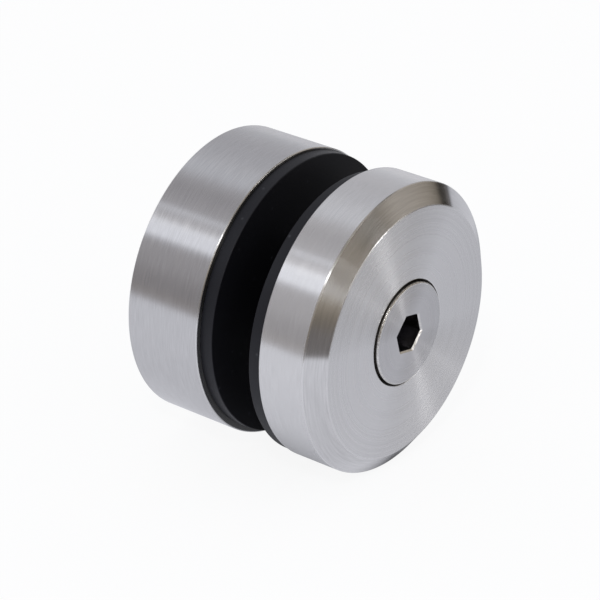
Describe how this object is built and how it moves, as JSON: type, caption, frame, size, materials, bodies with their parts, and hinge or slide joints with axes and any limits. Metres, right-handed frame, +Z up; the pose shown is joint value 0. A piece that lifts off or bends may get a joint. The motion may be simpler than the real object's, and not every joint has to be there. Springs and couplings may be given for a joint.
{
  "type": "glass-to-glass connector",
  "caption": "Round clamp for glass panes: a plain and a bevelled steel disc with rubber gaskets, drawn together by a countersunk hex-socket screw through a spacer sleeve.",
  "frame": {"origin": "on the screw's axis, in the face of the back gasket that the glass seats on", "axes": "-Y along the screw's axis out of the front, through the screw's head; +Z up"},
  "size_m": [0.05, 0.039, 0.05],
  "materials": {
    "satin_steel": "satin brushed round the rim, turned on the faces",
    "screw_steel": "fine satin",
    "gasket_rubber": "matt",
    "sleeve_nylon": "moulded"
  },
  "bodies": {
    "back_clamp": {"back_disc": "satin_steel", "back_gasket": "gasket_rubber", "spacer_sleeve": "sleeve_nylon"},
    "front_clamp": {"front_disc": "satin_steel", "front_gasket": "gasket_rubber"},
    "screw": {"clamp_screw": "screw_steel"}
  },
  "joints": [
    {"name": "clamp_travel", "type": "slide", "parent": "back_clamp", "child": "front_clamp", "axis": [0, -1, 0], "range_m": [0, 0.009]},
    {"name": "screw_turn", "type": "hinge", "parent": "front_clamp", "child": "screw", "pos_m": [0, 0, 0], "axis": [0, -1, 0], "range_deg": [0, 2160]}
  ],
  "couplings": [
    {"joint": "screw_turn", "follows": "clamp_travel", "rad_per_m": 4188.8}
  ]
}
